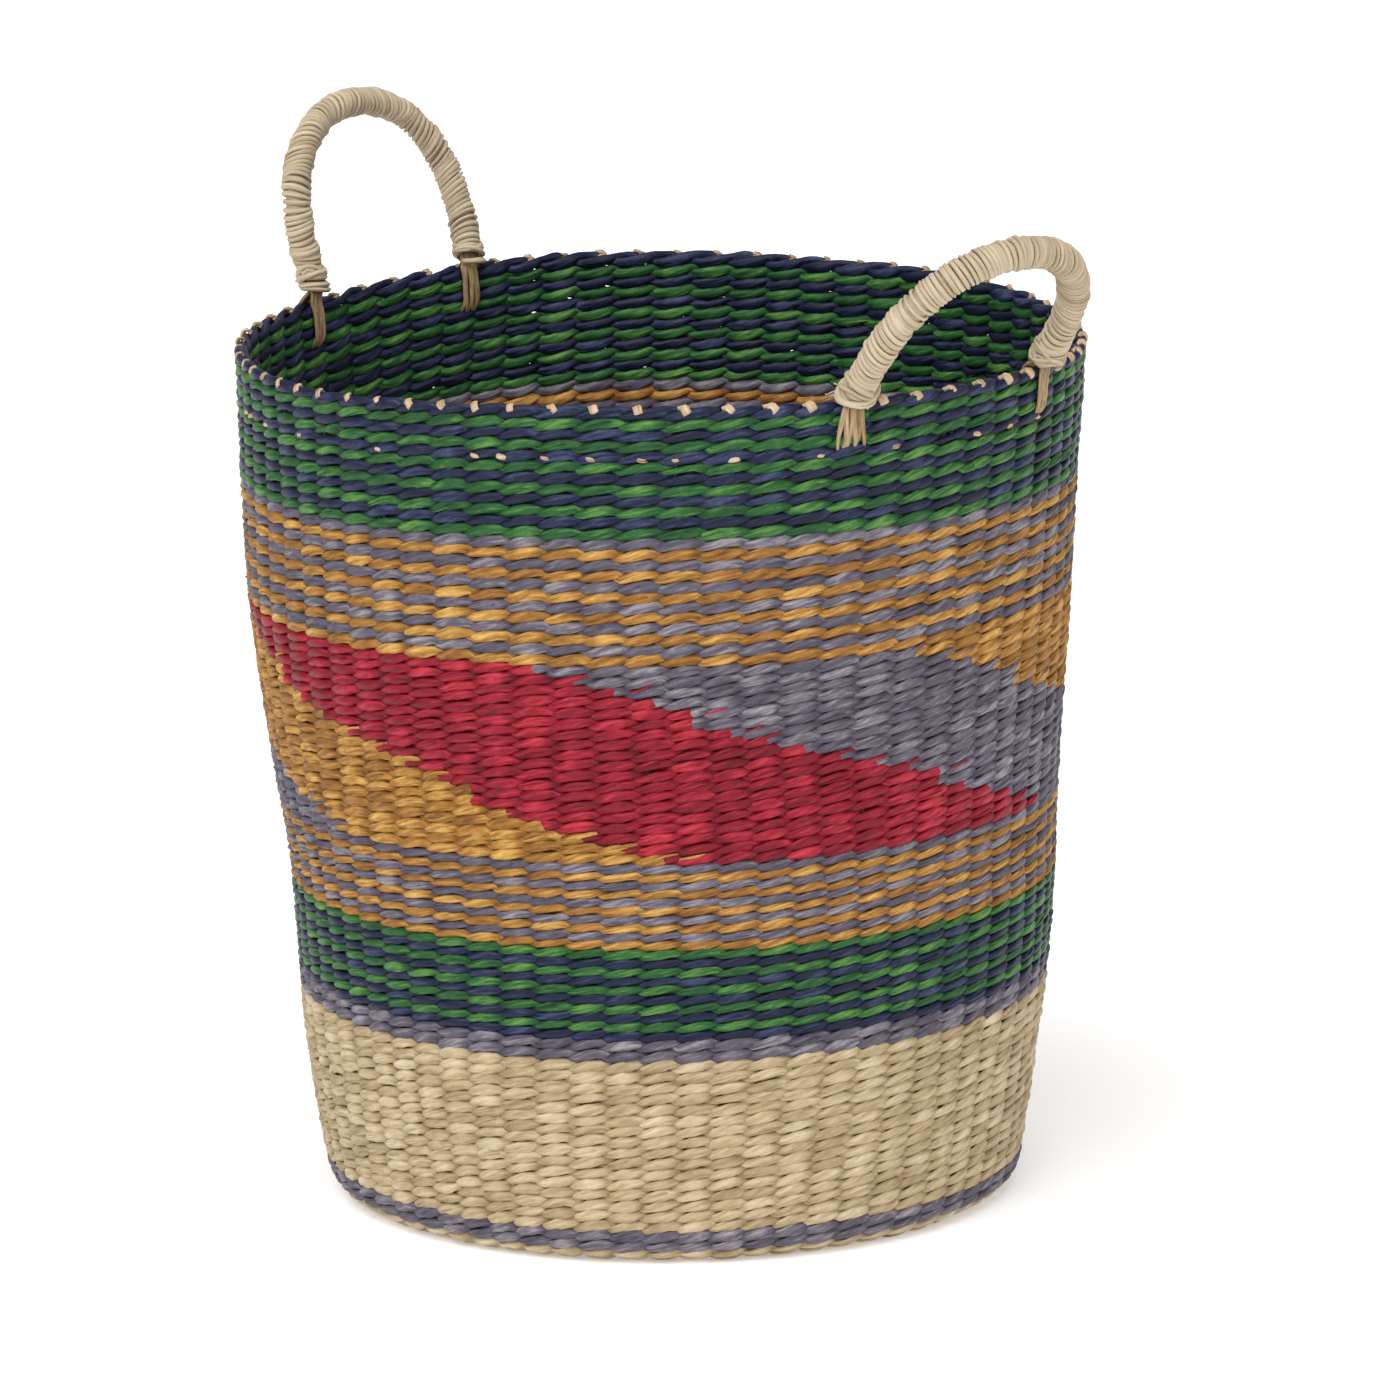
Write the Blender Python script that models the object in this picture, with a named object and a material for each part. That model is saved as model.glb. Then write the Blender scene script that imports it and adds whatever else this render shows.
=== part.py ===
"""Seagrass storage basket: twined weft bands on a frame of stakes, with two
rope handles that flop about the rim.

Frame: metres, +Z up, origin on the ground under the centre of the base.
The wall is a sandwich: an outer skin of weft, the stakes, an inner skin.
"""

import math

import bmesh
import bpy
from mathutils import Matrix, Vector

# ---- Driving dimensions (metres, degrees) ------------------------------------

STAKES = 66                # upright stakes round the wall
FACETS = 44                # flat sides of each weft ring
FOOT_RADIUS = 0.1560       # outer radius the wall's curve starts from
FLARE = 0.0515             # how much the wall opens out towards the rim
BELLY = 0.0175             # how much of that flare dies away with height
HEEL_RADIUS = 0.0154       # rounded turn from the base into the wall

WEFT_SKIN = 0.0023         # thickness of the outer and of the inner weft
HEEL_SKIN = 0.0017         # thinner where the heel's flats come near the stakes
STAKE_THICKNESS = 0.0026
STAKE_WIDTH = 0.0040
LAYER_GAP = 0.0007         # room between a faceted skin and a stake
JOIN_GAP = 0.0003          # room between pieces that touch

# Bands of the wall from the heel up: name, rows of weft, height of one row.
BANDS = (
    ("natural", 16, 0.00502),
    ("grey", 2, 0.00495),
    ("green_navy_lower", 10, 0.00414),
    ("ochre_grey_lower", 10, 0.00389),
    ("pattern", 19, 0.004705),
    ("ochre_grey_upper", 12, 0.00467),
    ("green_navy_upper", 11, 0.00477),
    ("rim_border", 1, 0.00470),
)

# Slanting panels of the pattern band, in wall facets from the +X side.
PANEL_COLOURS = ("ochre", "red", "grey", "ochre", "red", "grey")
PANEL_WIDTHS = (7, 8, 7, 7, 7, 8)
PANEL_START = -23
PANEL_SLANT = 11           # facets that a panel travels down its height

HANDLE_CORE_RADIUS = 0.0040
HANDLE_WRAP_RADIUS = 0.0069
COLLAR_RADIUS = 0.0078
COLLAR_LENGTH = 0.0070
HINGE_DROP = 0.0020        # hinge line below the top of the rim
COLLAR_START = 0.0074      # height of a collar above the hinge line
ARCH_SQUARENESS = 0.86     # 1 is half an ellipse, less is a squarer arch
ARCH_STEPS = 18
TUBE_SIDES = 8

# Each handle: azimuth, outward lean, half distance between its feet, height
# of its arch, and how far the arch bulges past its feet.
HANDLES = {
    "right": dict(azimuth=0.0, lean=33.5, half_span=0.0573, height=0.0790, bulge=0.0058),
    "left": dict(azimuth=180.0, lean=18.0, half_span=0.0471, height=0.0884, bulge=0.0066),
}

TAIL_TOP_WIDTH = 0.010     # fan of strands below each handle foot
TAIL_FOOT_WIDTH = 0.015
TAIL_TOP_DROP = 0.0040     # top and foot of the fan below the top of the rim
TAIL_FOOT_DROP = 0.0200
TAIL_THICKNESS = 0.0014

# ---- Derived levels ----------------------------------------------------------

FOOT_Z = {}
_height = HEEL_RADIUS
for _name, _rows, _pitch in BANDS:
    FOOT_Z[_name] = _height
    _height += _rows * _pitch
RIM_Z = _height
BAND_ORDER = [band[0] for band in BANDS]
WALL_CORNERS = (HEEL_RADIUS, FOOT_Z["green_navy_lower"], FOOT_Z["pattern"],
                FOOT_Z["ochre_grey_upper"], RIM_Z)
WALL_DEPTH = 2.0 * (WEFT_SKIN + LAYER_GAP) + STAKE_THICKNESS
STAKE_OUTER = WEFT_SKIN + LAYER_GAP
STAKE_INNER = STAKE_OUTER + STAKE_THICKNESS
INNER_SKIN = STAKE_INNER + LAYER_GAP

COLOURS = {
    "natural": (0.56, 0.45, 0.26),
    "grey": (0.19, 0.18, 0.27),
    "green_navy": (0.03, 0.11, 0.06),
    "ochre_grey": (0.36, 0.24, 0.13),
    "ochre": (0.56, 0.28, 0.05),
    "red": (0.38, 0.02, 0.04),
    "navy": (0.02, 0.02, 0.07),
    "stake": (0.60, 0.42, 0.26),
    "twine": (0.58, 0.42, 0.22),
}
STRAW_ROUGHNESS = 0.72


# ---- Helpers -----------------------------------------------------------------

def straw(name):
    """Principled material of one straw colour."""
    full_name = "straw_" + name
    found = bpy.data.materials.get(full_name)
    if found:
        return found
    material = bpy.data.materials.new(full_name)
    material.use_nodes = True
    shader = material.node_tree.nodes["Principled BSDF"]
    shader.inputs["Base Color"].default_value = (*COLOURS[name], 1.0)
    shader.inputs["Roughness"].default_value = STRAW_ROUGHNESS
    shader.inputs["Metallic"].default_value = 0.0
    return material


def add_object(name, bm, colour, parent=None):
    """Make one named object of a finished bmesh."""
    bmesh.ops.recalc_face_normals(bm, faces=bm.faces)
    mesh = bpy.data.meshes.new(name)
    bm.to_mesh(mesh)
    bm.free()
    mesh.shade_smooth()
    mesh.set_sharp_from_angle(angle=math.radians(40.0))
    mesh.materials.append(straw(colour))
    made = bpy.data.objects.new(name, mesh)
    bpy.context.collection.objects.link(made)
    made.parent = parent
    return made


def curve_radius(z):
    """Outer radius of the wall's curve at height z."""
    t = z / RIM_Z
    return FOOT_RADIUS + FLARE * t - BELLY * t * t


def wall_radius(z):
    """Outer radius of the wall, straight between its corner heights."""
    for low, high in zip(WALL_CORNERS, WALL_CORNERS[1:]):
        if z <= high or high == RIM_Z:
            share = (z - low) / (high - low)
            return curve_radius(low) * (1.0 - share) + curve_radius(high) * share


def polar(radius, degrees, z):
    """Point at a radius and an angle round the basket."""
    angle = math.radians(degrees)
    return Vector((radius * math.cos(angle), radius * math.sin(angle), z))


def bridge_rings(bm, first, second):
    """Faces between two closed rings of vertices, which may meet in a point."""
    for index, vertex in enumerate(first):
        after = (index + 1) % len(first)
        corners = dict.fromkeys((vertex, first[after], second[after], second[index]))
        if len(corners) > 2:
            bm.faces.new(tuple(corners))


def turned_ring(section):
    """Closed ring turned from a closed section of (radius, z) points."""
    bm = bmesh.new()
    rings = []
    for radius, z in section:
        rings.append([bm.verts.new(polar(radius, 360.0 * k / FACETS, z)) for k in range(FACETS)])
    for first, second in zip(rings, rings[1:] + rings[:1]):
        bridge_rings(bm, first, second)
    return bm


def disc(radius, bottom, top, sides):
    """Flat closed disc."""
    bm = bmesh.new()
    low = [bm.verts.new(polar(radius, 360.0 * k / sides, bottom)) for k in range(sides)]
    high = [bm.verts.new(polar(radius, 360.0 * k / sides, top)) for k in range(sides)]
    bridge_rings(bm, low, high)
    bm.faces.new(low[::-1])
    bm.faces.new(high)
    return bm


def heel_point(depth, degrees):
    """(radius, z) at a depth under the heel's surface: 0 is the base, 90 the wall."""
    turn = math.radians(degrees)
    middle = wall_radius(HEEL_RADIUS) - HEEL_RADIUS
    reach = HEEL_RADIUS - depth
    return middle + reach * math.sin(turn), HEEL_RADIUS - reach * math.cos(turn)


# ---- Wall --------------------------------------------------------------------

def band_limits(name):
    """Lowest and highest z of a band, with half a join gap off each end."""
    index = BAND_ORDER.index(name)
    top = RIM_Z if name == "rim_border" else FOOT_Z[BAND_ORDER[index + 1]] - JOIN_GAP
    return FOOT_Z[name], top


def band_ring(name, near, far):
    """Ring of one band between two depths under the wall's outer face."""
    low, high = band_limits(name)
    levels = [low, high]
    corners = [z for z in WALL_CORNERS if low < z < high]
    levels[1:1] = corners
    section = [(wall_radius(z) - near, z) for z in levels]
    section += [(wall_radius(z) - far, z) for z in reversed(levels)]
    return turned_ring(section)


def slanting_panel(start, width):
    """One parallelogram of the pattern band, cut on the wall's facets."""
    low, high = band_limits("pattern")
    drop = (high - low) / PANEL_SLANT
    margin = JOIN_GAP * 2.0
    bm = bmesh.new()
    columns = []
    for facet in range(start, start + width + PANEL_SLANT + 1):
        left_line = high - (facet - start) * drop + margin
        right_line = high - (facet - start - width) * drop - margin
        bottom = min(max(left_line, low), high)
        top = min(max(right_line, low), high)
        angle = 360.0 * facet / FACETS
        outer = polar(wall_radius(bottom), angle, bottom)
        inner = polar(wall_radius(bottom) - WEFT_SKIN, angle, bottom)
        column = [bm.verts.new(outer), bm.verts.new(inner)]
        if top > bottom:
            column.append(bm.verts.new(polar(wall_radius(top) - WEFT_SKIN, angle, top)))
            column.append(bm.verts.new(polar(wall_radius(top), angle, top)))
        else:
            column += [column[1], column[0]]
        columns.append(column)
    for first, second in zip(columns, columns[1:]):
        bridge_rings(bm, first, second)
    return bm


def build_skins():
    """Outer and inner weft of every band."""
    for name in BAND_ORDER:
        colour = {"rim_border": "navy", "pattern": "ochre"}.get(name, name)
        colour = colour.replace("_lower", "").replace("_upper", "")
        if name != "pattern":
            add_object(name + "_outer", band_ring(name, 0.0, WEFT_SKIN), colour)
        add_object(name + "_inner", band_ring(name, INNER_SKIN, WALL_DEPTH), colour)
    start = PANEL_START
    for number, (colour, width) in enumerate(zip(PANEL_COLOURS, PANEL_WIDTHS), 1):
        name = "pattern_panel_%d_%s" % (number, colour)
        add_object(name, slanting_panel(start, width), colour)
        start += width


def build_stake_frame():
    """Stakes that cross in the base plate, turn at the heel and rise to the rim."""
    bm = bmesh.new()
    path = [(heel_point(STAKE_OUTER, turn), heel_point(STAKE_INNER, turn)) for turn in (0, 45, 90)]
    for z in WALL_CORNERS[1:]:
        radius = wall_radius(z)
        path.append(((radius - STAKE_OUTER, z), (radius - STAKE_INNER, z)))
    rim_low, rim_high = [], []
    for number in range(STAKES):
        middle = 360.0 * (number + 0.5) / STAKES
        rings = []
        for outer, inner in path:
            across = polar(STAKE_WIDTH / 2.0, middle + 90.0, 0.0)
            out = polar(outer[0], middle, outer[1])
            back = polar(inner[0], middle, inner[1])
            rings.append([bm.verts.new(p) for p in (out - across, out + across, back + across, back - across)])
        for first, second in zip(rings, rings[1:]):
            bridge_rings(bm, first, second)
        bm.faces.new(rings[-1])
        rim_low += rings[0][:2]
        rim_high += [rings[0][3], rings[0][2]]
    bm.faces.new(rim_low)
    bm.faces.new(rim_high)
    count = len(rim_low)
    for index in range(1, count, 2):
        after = (index + 1) % count
        bm.faces.new((rim_low[index], rim_low[after], rim_high[after], rim_high[index]))
    add_object("stake_frame", bm, "stake")


def build_base():
    """Lower and upper weave of the base, and the coloured heel rounds."""
    edge = heel_point(0.0, 0.0)[0] - JOIN_GAP
    add_object("base_weave_lower", disc(edge, 0.0, WEFT_SKIN, FACETS), "natural")
    facet_flat = math.cos(math.pi / FACETS)
    upper_edge = (wall_radius(HEEL_RADIUS) - WALL_DEPTH) * facet_flat - JOIN_GAP
    upper_edge = min(upper_edge, heel_point(INNER_SKIN, 0.0)[0])
    upper = disc(upper_edge, INNER_SKIN, WALL_DEPTH, FACETS)
    add_object("base_weave_upper", upper, "natural")
    turns = (0.0, 30.0, 60.0, 90.0)
    section = [heel_point(0.0, turn) for turn in turns]
    section += [heel_point(HEEL_SKIN, turn) for turn in reversed(turns)]
    for index in (len(turns) - 1, len(turns)):
        section[index] = (section[index][0], HEEL_RADIUS - JOIN_GAP)
    add_object("heel_rounds", turned_ring(section), "grey")


# ---- Handles -----------------------------------------------------------------

def arch_point(handle, turn):
    """Point of a handle's centre line in its own plane, turn 0 to 180."""
    angle = math.radians(turn)
    side = math.copysign(abs(math.cos(angle)) ** ARCH_SQUARENESS, math.cos(angle))
    rise = abs(math.sin(angle)) ** ARCH_SQUARENESS
    span = handle["half_span"] + handle["bulge"] * math.sin(2.0 * math.radians(min(turn, 180.0 - turn)))
    return Vector((0.0, span * side, handle["height"] * rise))


def arch_line(handle, lowest):
    """Centre line of the part of an arch that is higher than lowest."""
    fine = [arch_point(handle, 180.0 * k / 720) for k in range(721)]
    kept = [point for point in fine if point.z >= lowest]
    step = (len(kept) - 1) / ARCH_STEPS
    return [kept[round(k * step)] for k in range(ARCH_STEPS + 1)]


def tube_rings(bm, line, radius):
    """Rings of vertices round a line that lies in the plane x = 0."""
    rings = []
    for index, point in enumerate(line):
        before = line[max(index - 1, 0)]
        after = line[min(index + 1, len(line) - 1)]
        along = (after - before).normalized()
        side = Vector((1.0, 0.0, 0.0))
        up = along.cross(side)
        ring = []
        for k in range(TUBE_SIDES):
            turn = 2.0 * math.pi * k / TUBE_SIDES
            ring.append(bm.verts.new(point + side * radius * math.cos(turn) + up * radius * math.sin(turn)))
        rings.append(ring)
    return rings


def solid_tube(line, radius):
    """Closed rod along a line."""
    bm = bmesh.new()
    rings = tube_rings(bm, line, radius)
    for first, second in zip(rings, rings[1:]):
        bridge_rings(bm, first, second)
    bm.faces.new(rings[0])
    bm.faces.new(rings[-1][::-1])
    return bm


def hollow_tube(line, outer, inner):
    """Sleeve along a line, open at both ends."""
    bm = bmesh.new()
    outside = tube_rings(bm, line, outer)
    inside = tube_rings(bm, line, inner)
    for rings in (outside, inside):
        for first, second in zip(rings, rings[1:]):
            bridge_rings(bm, first, second)
    bridge_rings(bm, outside[0], inside[0])
    bridge_rings(bm, outside[-1], inside[-1])
    return bm


def hinge_radius(handle):
    """Distance of a handle's hinge line from the basket's axis."""
    foot_radius = wall_radius(RIM_Z) - WALL_DEPTH / 2.0
    return math.sqrt(foot_radius ** 2 - handle["half_span"] ** 2)


def build_handle(side, handle):
    """Core, twine wrap and two collars of one handle, on its hinge line."""
    hinge = bpy.data.objects.new(side + "_handle_hinge", None)
    bpy.context.collection.objects.link(hinge)
    hinge.location = polar(hinge_radius(handle), handle["azimuth"], RIM_Z - HINGE_DROP)
    hinge.rotation_euler = (0.0, math.radians(handle["lean"]), math.radians(handle["azimuth"]))
    core_line = arch_line(handle, COLLAR_START)
    add_object(side + "_handle_core", solid_tube(core_line, HANDLE_CORE_RADIUS), "stake", hinge)
    wrap_line = arch_line(handle, COLLAR_START + COLLAR_LENGTH)
    inner = HANDLE_CORE_RADIUS + JOIN_GAP * 2.0
    wrap = hollow_tube(wrap_line, HANDLE_WRAP_RADIUS, inner)
    add_object(side + "_handle_wrap", wrap, "twine", hinge)
    fine = [arch_point(handle, 90.0 * k / 360) for k in range(361)]
    short = [p for p in fine if COLLAR_START <= p.z <= COLLAR_START + COLLAR_LENGTH - JOIN_GAP * 2.0]
    ends = [short[0], short[-1]]
    mirror = Matrix.Scale(-1.0, 3, Vector((0.0, 1.0, 0.0)))
    for label, line in (("first", ends), ("second", [mirror @ p for p in ends])):
        collar = hollow_tube(line, COLLAR_RADIUS, inner)
        add_object("%s_handle_collar_%s" % (side, label), collar, "twine", hinge)


def tail_fan(azimuth, face_radius, outward):
    """Flat fan of strand ends against the wall under one handle foot."""
    bm = bmesh.new()
    top_z = RIM_Z - TAIL_TOP_DROP
    low_z = RIM_Z - TAIL_FOOT_DROP
    outline = ((-TAIL_FOOT_WIDTH / 2.0, low_z), (TAIL_FOOT_WIDTH / 2.0, low_z),
               (TAIL_TOP_WIDTH / 2.0, top_z), (-TAIL_TOP_WIDTH / 2.0, top_z))
    rings = []
    for depth in (0.0, TAIL_THICKNESS * outward):
        ring = []
        for across, z in outline:
            shift = polar(across, azimuth + 90.0, 0.0)
            ring.append(bm.verts.new(polar(face_radius + depth, azimuth, z) + shift))
        rings.append(ring)
    bridge_rings(bm, rings[0], rings[1])
    bm.faces.new(rings[0])
    bm.faces.new(rings[1][::-1])
    return bm


def build_tails(side, handle):
    """Outer and inner fans of both feet of one handle."""
    foot_radius = wall_radius(RIM_Z) - WALL_DEPTH / 2.0
    half_angle = math.degrees(math.asin(handle["half_span"] / foot_radius))
    outside = wall_radius(RIM_Z) + JOIN_GAP
    inner_wall = (wall_radius(RIM_Z - TAIL_FOOT_DROP) - WALL_DEPTH) * math.cos(math.pi / FACETS)
    inside = math.sqrt(inner_wall ** 2 - (TAIL_FOOT_WIDTH / 2.0) ** 2) - JOIN_GAP
    for label, sign in (("first", 1.0), ("second", -1.0)):
        azimuth = handle["azimuth"] + sign * half_angle
        name = "%s_foot_%s" % (side, label)
        add_object(name + "_tails_outer", tail_fan(azimuth, outside, 1.0), "twine")
        add_object(name + "_tails_inner", tail_fan(azimuth, inside, -1.0), "twine")


def main():
    for old in list(bpy.data.objects):
        bpy.data.objects.remove(old, do_unlink=True)
    build_stake_frame()
    build_base()
    build_skins()
    for side, handle in HANDLES.items():
        build_handle(side, handle)
        build_tails(side, handle)


main()
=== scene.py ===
"""Looks of the seagrass storage basket: every strand of its twined wall and base,
its stakes, and its two wrapped rope handles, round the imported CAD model.

Metres, +Z up, origin under the middle of the base, handles on the X axis.
"""

import math

import bpy
import numpy as np
from mathutils import Matrix, Vector


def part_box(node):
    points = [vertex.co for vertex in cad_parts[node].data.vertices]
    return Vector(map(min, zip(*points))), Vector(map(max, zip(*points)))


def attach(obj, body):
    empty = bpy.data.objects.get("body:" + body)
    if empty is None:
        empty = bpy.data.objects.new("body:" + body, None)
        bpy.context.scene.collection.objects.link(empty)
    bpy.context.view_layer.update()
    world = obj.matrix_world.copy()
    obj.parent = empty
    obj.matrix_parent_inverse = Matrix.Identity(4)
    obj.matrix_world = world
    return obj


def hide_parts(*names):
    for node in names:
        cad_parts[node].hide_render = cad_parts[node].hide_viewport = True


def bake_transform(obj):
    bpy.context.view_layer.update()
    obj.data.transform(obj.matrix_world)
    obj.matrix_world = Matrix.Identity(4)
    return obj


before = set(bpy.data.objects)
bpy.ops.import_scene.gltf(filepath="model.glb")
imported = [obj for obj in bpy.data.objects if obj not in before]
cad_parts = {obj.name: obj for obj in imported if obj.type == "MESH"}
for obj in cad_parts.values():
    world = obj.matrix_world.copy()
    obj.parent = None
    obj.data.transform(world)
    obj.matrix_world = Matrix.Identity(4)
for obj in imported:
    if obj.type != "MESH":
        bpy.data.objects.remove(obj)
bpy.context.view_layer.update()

MM = 0.001

# ---- Wall shape, as in the CAD model -----------------------------------------

RIM_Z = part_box("rim_border_outer")[1].z
HEEL_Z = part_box("natural_outer")[0].z
FOOT_RADIUS = 156.0 * MM
FLARE = 51.5 * MM
BELLY = 17.5 * MM
WALL_HALF = 3.4 * MM            # from the outer face to the middle of the wall
HEEL_MIDDLE = 142.6 * MM        # radius of the heel's centre of curvature

# ---- Twining -----------------------------------------------------------------

STAKES = 66
STAKE_HALF_WIDTH = 1.3 * MM
STAKE_HALF_DEPTH = 0.75 * MM
SWING = 2.0 * MM                # how far a strand goes in and out round a stake
CLIMB = 1.5 * MM                # how far a strand rises across half a stitch
LAG = 0.6                       # radians by which the swing trails the climb
TWIST = 0.42                    # how much a strand's flat face tips where it meets its partner
STRAND_HALF_WIDTH = 2.85 * MM   # of a stitch at its widest
NARROWING = 0.6 * MM            # how much slimmer it is where it passes through the wall
STRAND_HALF_DEPTH = 1.35 * MM
THICKENING = 0.3                # how much deeper it is there, as a share
WIDTH_SPREAD = 0.13             # share by which stitches differ in width
DEPTH_SPREAD = 0.15             # in depth
REACH_SPREAD = 0.07             # in how far they stand out
RISE_SPREAD = 0.25              # and in how steeply they climb
RIDGES = 0.14                   # height of a strand's fibre ridges, as a share of its size
SPLIT_LEAVES = 0.10             # share of stitches with a split sliver of leaf
TIP_Z = RIM_Z - 21.5 * MM       # height where cut stake ends show between two rounds
TIPS = 0.65                     # share of stakes with such an end
STEPS_PER_STITCH = 8
STRAND_SIDES = 10
NORMAL_ROW = 4.8 * MM           # row height that the sizes above belong to

# Bands from the heel up: CAD name, rounds, band above, colours from the bottom.
BANDS = (
    ("natural", 16, "grey", ("natural",)),
    ("grey", 2, "green_navy_lower", ("grey",)),
    ("green_navy_lower", 10, "ochre_grey_lower", ("navy", "green")),
    ("ochre_grey_lower", 10, "pattern", ("ochre", "grey")),
    ("ochre_grey_upper", 12, "green_navy_upper", ("ochre", "grey")),
    ("green_navy_upper", 11, "rim_border", ("green", "navy")),
    ("rim_border", 1, None, ("navy",)),
)

PATTERN_ROWS = 19
LOOSENESS = {"green_navy_upper": 1.0, "pattern": 0.2}       # how far stitches may slim to a slit
NORMAL_LOOSENESS = 0.3
PANEL_COLOURS = ("ochre", "red", "grey", "ochre", "red", "grey")
PANEL_STITCHES = (10, 13, 10, 11, 10, 12)
PANEL_START = -34.7             # first colour change of the top row, in stitches from +X
HELD_ROWS = (5, 13)             # rows down the pattern where no panel steps on

# ---- Handles, as in the CAD model --------------------------------------------

HANDLES = {
    "right": dict(azimuth=0.0, lean=33.5, half_span=57.3 * MM, height=79.0 * MM, bulge=5.8 * MM,
                  radius=6.25 * MM),
    "left": dict(azimuth=180.0, lean=18.0, half_span=47.1 * MM, height=88.4 * MM, bulge=6.6 * MM,
                 radius=5.55 * MM),
}
ARCH_SQUARENESS = 0.86
HINGE_DROP = 2.0 * MM
HINGE_DEPTH = 4.3 * MM          # inside the rim's outer face
WRAP_START = 6.5 * MM
TWINE_PITCH = 2.3 * MM
TWINE_HALF_WIDTH = 1.15 * MM
TWINE_HALF_DEPTH = 1.1 * MM
BINDING_LENGTH = 8.5 * MM
BINDING_START = 0.8 * MM        # along the handle from each end of its wrap
BINDING_PROUD = 0.7 * MM        # how far a binding stands out from the wrap
THICK_BINDING_PROUD = 1.5 * MM  # at the right handle's near foot, which is also frayed
LOOSE_ENDS = 5                  # of twine there

# Bare strands of a foot: millimetres up the leaning leg, then millimetres out from the middle
# of the wall and up from the rim, down one face of the wall and into it.
LEG_PLACES = (12.0, 6.5)
TAIL_OUTSIDE = ((4.9, 1.0), (5.4, -3.0), (5.4, -8.0), (5.3, -13.0), (4.6, -17.0), (2.2, -20.0))
TAIL_INSIDE = ((0.2, 2.6), (-2.8, 1.8), (-3.8, -1.5), (-4.0, -7.0), (-4.1, -13.0), (-3.2, -17.0),
               (-0.5, -20.0))
TAIL_HALF_SPAN = 3.4            # millimetres from a foot's middle strand to its last, at the top
TAIL_HALF_FAN = 2.6             # and at the bottom
WIDE_FAN = 5.4                  # outside at the frayed foot

# ---- Hand-made unevenness ------------------------------------------------------

# Share of the height and millimetres: how far the wall bulges, and leans to the camera's right.
SWELLS = ((0.03, 0.0), (0.10, 1.1), (0.22, 2.0), (0.32, 0.9), (0.42, -0.4), (0.54, 0.4), (0.64, 1.5),
          (0.72, 2.0), (0.82, 1.3), (1.0, 1.2))
SHIFTS = ((0.0, 0.0), (0.1, -0.3), (0.2, 0.0), (0.3, 1.1), (0.38, 1.2), (0.5, -1.3), (0.62, -3.0),
          (0.75, -3.8), (0.86, -3.4), (0.95, -2.2), (1.0, -2.2))
OVALS = ((2, 1.0, 0.6), (3, 0.7, 2.0))      # waves round the rim, millimetres out, phase
SKEW = 0.006                    # slope of the rounds, up to the camera's right
SADDLE = 3.0 * MM               # rim high at the front and back, low at the sides
RIPPLE = 0.7 * MM               # five low waves round the rim

# ---- Camera ------------------------------------------------------------------

CAMERA_ROLL = 0.6
CAMERA_AZIMUTH = 46.7
CAMERA_ELEVATION = 12.9
CAMERA_DISTANCE = 4.876
CAMERA_LENS = 278.0
AIM_RIGHT = 13.8 * MM           # where the camera looks, beside the basket's middle
AIM_UP = 26.2 * MM

random = np.random.default_rng(20240611)
camera_turn = math.radians(CAMERA_AZIMUTH)
VIEW_RIGHT = np.array([math.cos(camera_turn), math.sin(camera_turn), 0.0])
FRONT = camera_turn - math.pi / 2.0     # angle round the basket of the side facing the camera


# ---- Curves and noise ----------------------------------------------------------

def curve_radius(z):
    """Outer radius of the wall at height z."""
    t = np.asarray(z) / RIM_Z
    return FOOT_RADIUS + FLARE * t - BELLY * t * t


def smooth_step(value, low, high):
    """Ease from 0 at low to 1 at high."""
    t = np.clip((np.asarray(value) - low) / (high - low), 0.0, 1.0)
    return t * t * (3.0 - 2.0 * t)


def wander(position, length, values):
    """Smooth run through values, spread evenly over a closed length."""
    place = np.asarray(position) / length * len(values)
    first = np.floor(place).astype(int) % len(values)
    share = smooth_step(place - np.floor(place), 0.0, 1.0)
    share = share.reshape(share.shape + (1,) * (values.ndim - 1))
    return values[first] * (1.0 - share) + values[(first + 1) % len(values)] * share


def hold(position, values):
    """One value per stitch, changing over where the strand passes through the wall."""
    place = np.asarray(position) + 0.5
    first = np.floor(place).astype(int)
    share = smooth_step(place - first, 0.84, 1.16) + smooth_step(place - first, -0.16, 0.16)
    share = share.reshape(share.shape + (1,) * (values.ndim - 1))
    last, now, after = (values[(first + step) % len(values)] for step in (-1, 0, 1))
    entering = last * (1.0 - share) + now * share
    leaving = now * (2.0 - share) + after * (share - 1.0)
    return np.where(share < 1.0, entering, leaving)


def spread():
    """Random number from -1 to 1."""
    return random.uniform(-1.0, 1.0)


def uneven(share, knots):
    """Smooth random run between -1 and 1 along share, from a number of knots."""
    return wander(share, 1.001, random.uniform(-1.0, 1.0, max(4, int(knots))))


def settle(points):
    """Hand-made unevenness of the whole basket, from a level round one."""
    points = np.array(points, float)
    angle = np.arctan2(points[:, 1], points[:, 0])
    share = np.clip(points[:, 2] / RIM_Z, 0.0, 1.1)
    rise = smooth_step(points[:, 2], 20 * MM, 110 * MM)
    swell = np.interp(share, *zip(*SWELLS)) * MM
    for waves, size, phase in OVALS:
        swell += share * size * MM * np.cos(waves * angle + phase)
    lift = SKEW * rise * (points[:, :2] @ VIEW_RIGHT[:2])
    lift += share ** 2 * SADDLE * np.cos(2.0 * (angle - FRONT))
    lift += share ** 3 * RIPPLE * np.sin(5.0 * angle + 0.4)
    shift = np.interp(share, *zip(*SHIFTS)) * MM
    points[:, 0] += swell * np.cos(angle) + shift * VIEW_RIGHT[0]
    points[:, 1] += swell * np.sin(angle) + shift * VIEW_RIGHT[1]
    points[:, 2] += lift
    return points


# ---- Meshes swept along strands ------------------------------------------------

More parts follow.
